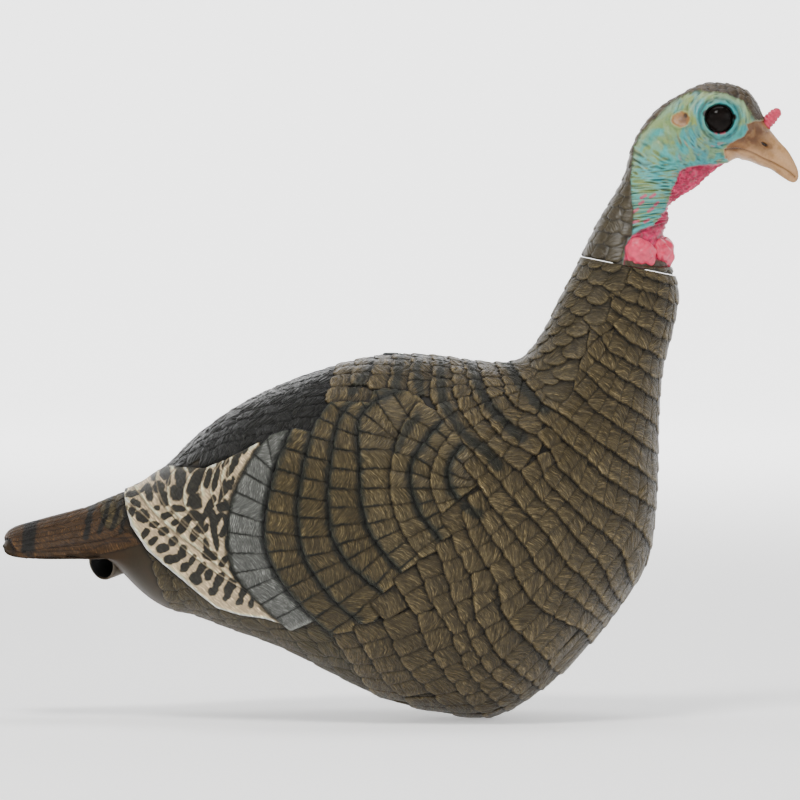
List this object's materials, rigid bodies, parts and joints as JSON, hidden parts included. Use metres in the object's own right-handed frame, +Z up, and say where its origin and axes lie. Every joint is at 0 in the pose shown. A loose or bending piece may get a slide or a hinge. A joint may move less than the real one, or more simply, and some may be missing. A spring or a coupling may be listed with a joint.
{
  "type": "turkey decoy",
  "caption": "Life-size hen turkey decoy, a hollow moulded bird with swivelling head that turns on a stake post through belly and back.",
  "frame": {"origin": "centre of the stake socket's mouth under the belly, on the axis the bird turns about", "axes": "+X towards the head, +Z up along the stake, +Y to the bird's left"},
  "size_m": [0.597, 0.232, 0.474],
  "materials": {
    "body_skin": "painted soft moulding, olive-brown feathers",
    "head_skin": "painted soft moulding, turquoise skin",
    "snood": "painted soft moulding, pink",
    "eyes": "high gloss black",
    "grommet": "satin black",
    "bearing_nylon": "natural nylon",
    "o_ring": "matte",
    "post": "turned"
  },
  "bodies": {
    "post": {"stake_post": "post", "thrust_washer": "bearing_nylon"},
    "bird": {"body_shell": "body_skin", "back_grommet": "grommet", "back_grommet_ring": "grommet", "belly_bushing": "bearing_nylon", "belly_bushing_nut": "bearing_nylon", "neck_socket": "bearing_nylon"},
    "head_unit": {"head": "head_skin", "snood": "snood", "eye_left": "eyes", "eye_right": "eyes", "neck_plug": "bearing_nylon", "neck_o_ring": "o_ring"}
  },
  "joints": [
    {"name": "stake_swivel", "type": "hinge", "parent": "post", "child": "bird", "pos_m": [0, 0, 0], "axis": [0, 0, 1], "continuous": true},
    {"name": "head_turn", "type": "hinge", "parent": "bird", "child": "head_unit", "pos_m": [0.1775, 0, 0.322], "axis": [0.1988, 0, 0.98], "range_deg": [-40, 40]}
  ]
}
